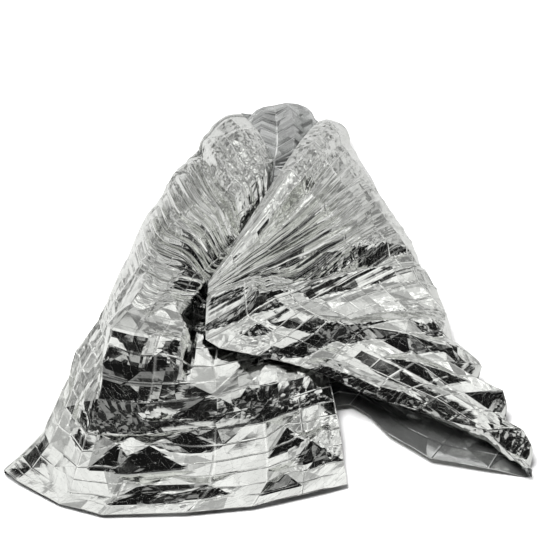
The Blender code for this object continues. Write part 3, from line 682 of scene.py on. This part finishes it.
def film_relief():
    """Node group: the film's normal from its fold lines and facets, and a mask of the lines."""
    group = bpy.data.node_groups.new("film_relief", "ShaderNodeTree")
    sockets = group.interface
    for name in ("Flat Place", "Laid Place"):
        sockets.new_socket(name, in_out="INPUT", socket_type="NodeSocketVector")
    for name in ("Crumple", "Drawn", "Fold Lines", "Panels", "Crinkles", "Fine"):
        sockets.new_socket(name, in_out="INPUT", socket_type="NodeSocketFloat")
    sockets.new_socket("Normal", in_out="OUTPUT", socket_type="NodeSocketVector")
    sockets.new_socket("Wear", in_out="OUTPUT", socket_type="NodeSocketFloat")
    given = group.nodes.new("NodeGroupInput").outputs
    place, crumpled = given["Laid Place"], given["Crumple"]

    waver = add_node(
        group, "ShaderNodeTexNoise", {"Vector": place, "Scale": WAVER_NOISE, "Detail": 1.0},
    )
    waver = vector_maths(group, "SUBTRACT", waver.outputs["Color"], (0.5, 0.5, 0.5))
    waver = vector_maths(group, "SCALE", waver.outputs[0])
    waver.inputs["Scale"].default_value = WAVER
    bent = vector_maths(group, "ADD", place, waver.outputs[0]).outputs[0]
    film = vector_maths(group, "ADD", given["Flat Place"], waver.outputs[0]).outputs[0]
    axes = add_node(group, "ShaderNodeSeparateXYZ", {"Vector": film}).outputs

    blotches = add_node(
        group, "ShaderNodeTexNoise", {"Vector": place, "Scale": LINE_NOISE, "Detail": 0.0},
    )
    seen = maths(group, "SUBTRACT", blotches.outputs[0], LINE_LEVEL)
    seen = maths(group, "MULTIPLY", seen, LINE_CONTRAST)
    columns = fold_lines(group, axes["X"], PANEL_WIDTH, LINE_WIDTH)
    rows = fold_lines(group, axes["Y"], PANEL_LENGTH / 2, LINE_WIDTH)
    lines = maths(group, "MULTIPLY", maths(group, "ADD", columns, rows), seen)
    normal = bump(group, maths(group, "MULTIPLY", lines, given["Fold Lines"]))

    drawn = add_node(
        group, "ShaderNodeTexNoise",
        {"W": axes["Y"], "Scale": DRAWN_LINES, "Detail": 1.0}, noise_dimensions="1D",
    )
    drawn = maths(group, "MULTIPLY", drawn.outputs[0], given["Drawn"])
    normal = bump(group, maths(group, "MULTIPLY", drawn, DRAWN_DEPTH), normal)

    share = maths(group, "MULTIPLY_ADD", crumpled, 1 - CALM_RELIEF, CALM_RELIEF)
    normal = bump(group, facet_height(group, bent, PANEL_CELLS, given["Panels"]), normal)
    for cells, name in ((CRINKLE_CELLS, "Crinkles"), (FINE_CELLS, "Fine")):
        slope = maths(group, "MULTIPLY", given[name], share)
        normal = bump(group, facet_height(group, bent, cells, slope), normal)

    result = group.nodes.new("NodeGroupOutput")
    group.links.new(normal, result.inputs["Normal"])
    wear = maths(group, "MULTIPLY", lines, LINE_WEAR, use_clamp=True)
    group.links.new(wear, result.inputs["Wear"])
    return group


def film_material(name, relief, colour, amounts, roughness, metal, wear):
    """Material of one face of the film, whose coating is worn along the fold lines."""
    material = bpy.data.materials.new(name)
    material.use_nodes = True
    tree = material.node_tree
    shader = tree.nodes["Principled BSDF"]
    shader.inputs["Base Color"].default_value = (*colour, 1)
    shader.inputs["Roughness"].default_value = roughness
    flat = add_node(tree, "ShaderNodeUVMap", uv_map="flat_film")
    as_laid = add_node(tree, "ShaderNodeUVMap", uv_map="laid_film")
    crumpled = add_node(tree, "ShaderNodeAttribute", attribute_name="crumple")
    drawn = add_node(tree, "ShaderNodeAttribute", attribute_name="drawn")
    group = add_node(tree, "ShaderNodeGroup", node_tree=relief)
    tree.links.new(flat.outputs[0], group.inputs["Flat Place"])
    tree.links.new(as_laid.outputs[0], group.inputs["Laid Place"])
    tree.links.new(crumpled.outputs["Fac"], group.inputs["Crumple"])
    tree.links.new(drawn.outputs["Fac"], group.inputs["Drawn"])
    for socket, amount in amounts.items():
        group.inputs[socket].default_value = amount
    tree.links.new(group.outputs["Normal"], shader.inputs["Normal"])
    coated = maths(tree, "MULTIPLY_ADD", group.outputs["Wear"], -wear, metal)
    tree.links.new(coated, shader.inputs["Metallic"])
    return material


def outer_film(settings, relief):
    """The bright outer face."""
    colour = settings.outer_colour
    amounts = {"Fold Lines": settings.crease_depth, "Panels": 0.10, "Crinkles": 0.28, "Fine": 0.45}
    return film_material("outer_film", relief, colour, amounts, roughness=0.10, metal=1.0, wear=0.22)


def inner_film(settings, relief):
    """The duller inner face, whose fold lines show more."""
    colour, lines = settings.inner_colour, 4 * settings.crease_depth
    amounts = {"Fold Lines": lines, "Panels": 0.60, "Crinkles": 0.20, "Fine": 0.10}
    return film_material("inner_film", relief, colour, amounts, roughness=0.18, metal=0.9, wear=0.75)


def split_along_creases(shape, across, down, settings, middle):
    """Split each face from corner to corner, the way that comes nearer to the film at its middle."""
    centres = outer_face((across[1:] + across[:-1]) / 2, (down[1:] + down[:-1]) / 2, settings)
    centres[..., :2] -= middle[:2]
    shape.faces.ensure_lookup_table()
    columns = len(across) - 1
    for k, face in enumerate(list(shape.faces)):
        a, b, c, d = face.verts
        centre = centres[-1 - k // columns, k % columns]
        off = [np.linalg.norm(np.array((p.co + q.co) / 2) - centre) for p, q in ((a, c), (b, d))]
        ends = (a, c) if off[0] < off[1] else (b, d)
        bmesh.utils.face_split(face, *ends)


class FOIL_OT_film(bpy.types.Operator):
    """Lay the metallised film out as a two-layer cape with its creases"""

    bl_idname = "foil.film"
    bl_label = "Lay Film"

    def execute(self, context):
        settings = context.scene.foil_film
        solid_across = np.linspace(-HALF_WIDTH, HALF_WIDTH, FOLD_COLUMNS * SOLID_COLUMN_STEPS + 1)
        solid_down = np.linspace(0, SHEET_LENGTH, FOLD_ROWS * SOLID_ROW_STEPS + 1)
        solid = outer_face(solid_across, solid_down).reshape(-1, 3)
        middle = (solid.min(axis=0) + solid.max(axis=0)) / 2

        across = column_places()
        down = np.linspace(0, SHEET_LENGTH, FOLD_ROWS * ROW_STEPS + 1)
        place = outer_face(across, down, settings)
        place[..., :2] -= middle[:2]
        s, t = np.meshgrid(across, down)
        crumpled = crumple(s, t)
        smooth = laid(across, down)
        lengths = laid_lengths(smooth[..., :3])
        lengthwise = np.linalg.norm(np.gradient(smooth[..., :3], down, axis=0), axis=-1)
        drawn = np.clip(smooth[..., 4], 0, 1) * np.clip(lengthwise, 0, 1)

        shape = bmesh.new()
        bmesh.ops.create_grid(shape, x_segments=len(across) - 1, y_segments=len(down) - 1, size=1)
        flat = shape.loops.layers.uv.new("flat_film")
        as_laid = shape.loops.layers.uv.new("laid_film")
        crumple_layer = shape.verts.layers.float.new("crumple")
        drawn_layer = shape.verts.layers.float.new("drawn")
        for vertex in shape.verts:
            i = round((vertex.co.x + 1) / 2 * (len(across) - 1))
            j = round((1 - vertex.co.y) / 2 * (len(down) - 1))
            for loop in vertex.link_loops:
                loop[flat].uv = (across[i], down[j])
                loop[as_laid].uv = (lengths[0][j, i], lengths[1][j, i])
            vertex[crumple_layer] = crumpled[j, i]
            vertex[drawn_layer] = drawn[j, i]
            vertex.co = place[j, i]
        split_along_creases(shape, across, down, settings, middle)
        bmesh.ops.reverse_faces(shape, faces=shape.faces)
        mesh = bpy.data.meshes.new("foil_film")
        shape.to_mesh(mesh)
        shape.free()
        relief = film_relief()
        mesh.materials.append(outer_film(settings, relief))
        mesh.materials.append(inner_film(settings, relief))
        film = bpy.data.objects.new("foil_film", mesh)
        context.scene.collection.objects.link(film)
        shell = film.modifiers.new("shell", "SOLIDIFY")
        shell.thickness = settings.thickness
        shell.offset = -1
        shell.material_offset = 1
        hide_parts("foil_sheet")
        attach(film, "root")
        return {"FINISHED"}


def set_ramp(ramp, stops):
    """Stops of a grey colour ramp, from pairs of position and brightness."""
    while len(ramp.elements) > 1:
        ramp.elements.remove(ramp.elements[-1])
    for k, (position, grey) in enumerate(stops):
        stop = ramp.elements.new(position) if k else ramp.elements[0]
        stop.position = position
        stop.color = (grey, grey, grey, 1)


def studio_world():
    """Soft bands of light beyond and over the blanket, and a dark near side."""
    world = bpy.data.worlds.new("studio")
    world.use_nodes = True
    tree = world.node_tree
    towards = add_node(tree, "ShaderNodeTexCoord").outputs["Generated"]
    axes = add_node(tree, "ShaderNodeSeparateXYZ", {"Vector": towards}).outputs
    tilt = maths(tree, "DIVIDE", maths(tree, "ARCTAN2", axes["Z"], axes["Y"]), math.pi)
    bands = add_node(tree, "ShaderNodeValToRGB", {"Fac": tilt})
    set_ramp(bands.color_ramp, [(angle / 180, grey) for angle, grey in STUDIO_BANDS])
    sides = add_node(
        tree, "ShaderNodeValToRGB", {"Fac": maths(tree, "MULTIPLY_ADD", axes["X"], 0.5, 0.5)},
    )
    set_ramp(sides.color_ramp, STUDIO_SIDES)
    mixed = vector_maths(tree, "MULTIPLY", bands.outputs[0], sides.outputs[0])
    tree.links.new(mixed.outputs[0], tree.nodes["Background"].inputs["Color"])
    return world


def floor_material(colour):
    """Pale floor, which is duller in the film than to the camera."""
    material = bpy.data.materials.new("pale_floor")
    material.use_nodes = True
    tree = material.node_tree
    shader = tree.nodes["Principled BSDF"]
    seen = add_node(tree, "ShaderNodeLightPath").outputs["Is Camera Ray"]
    share = maths(tree, "MULTIPLY_ADD", seen, 1 - FLOOR_IN_FILM, FLOOR_IN_FILM)
    shade = vector_maths(tree, "SCALE", colour)
    tree.links.new(share, shade.inputs["Scale"])
    tree.links.new(shade.outputs[0], shader.inputs["Base Color"])
    shader.inputs["Roughness"].default_value = 0.9
    shader.inputs["Specular IOR Level"].default_value = 0.1
    return material


class FOIL_OT_studio(bpy.types.Operator):
    """Set up the pale floor, the soft light and the camera"""

    bl_idname = "foil.studio"
    bl_label = "Set Up Studio"

    def execute(self, context):
        scene = context.scene
        settings = scene.foil_studio
        shape = bmesh.new()
        bmesh.ops.create_grid(shape, x_segments=1, y_segments=1, size=FLOOR_HALF_SIZE)
        for vertex in shape.verts:
            vertex.co.z = FLOOR_LEVEL
        mesh = bpy.data.meshes.new("floor")
        shape.to_mesh(mesh)
        shape.free()
        mesh.materials.append(floor_material(settings.floor_colour))
        floor = bpy.data.objects.new("floor", mesh)
        scene.collection.objects.link(floor)

        scene.world = studio_world()
        scene.view_settings.view_transform = "Standard"
        lamp = bpy.data.lights.new("top_light", "AREA")
        lamp.energy = settings.top_light
        lamp.size = LAMP_SIZE
        light = bpy.data.objects.new("top_light", lamp)
        light.location = LAMP_PLACE
        light.rotation_euler = (0, LAMP_TILT, 0)
        light.visible_glossy = False
        scene.collection.objects.link(light)

        lens = bpy.data.cameras.new("camera")
        lens.lens = settings.lens
        camera = bpy.data.objects.new("camera", lens)
        back = np.array([0, -math.cos(settings.elevation), math.sin(settings.elevation)])
        camera.location = np.array(CAMERA_TARGET) + settings.distance * back
        camera.rotation_euler = (math.radians(90) - settings.elevation, 0, 0)
        scene.collection.objects.link(camera)
        scene.camera = camera
        return {"FINISHED"}


class FOIL_PT_panel(bpy.types.Panel):
    """Lists the blanket's operators and settings"""

    bl_label = "Foil Blanket"
    bl_idname = "FOIL_PT_panel"
    bl_space_type = "VIEW_3D"
    bl_region_type = "UI"
    bl_category = "Foil Blanket"

    def draw(self, context):
        layout = self.layout
        for settings, operator in (
            (context.scene.foil_film, FOIL_OT_film),
            (context.scene.foil_studio, FOIL_OT_studio),
        ):
            box = layout.box()
            for name in settings.bl_rna.properties.keys():
                if name not in ("rna_type", "name"):
                    box.prop(settings, name)
            box.operator(operator.bl_idname)


CLASSES = (FilmSettings, StudioSettings, FOIL_OT_film, FOIL_OT_studio, FOIL_PT_panel)


def register():
    for cls in CLASSES:
        bpy.utils.register_class(cls)
    bpy.types.Scene.foil_film = PointerProperty(type=FilmSettings)
    bpy.types.Scene.foil_studio = PointerProperty(type=StudioSettings)


def unregister():
    del bpy.types.Scene.foil_studio
    del bpy.types.Scene.foil_film
    for cls in reversed(CLASSES):
        bpy.utils.unregister_class(cls)


def main():
    register()
    bpy.ops.foil.film()
    bpy.ops.foil.studio()


if __name__ == "__main__":
    main()
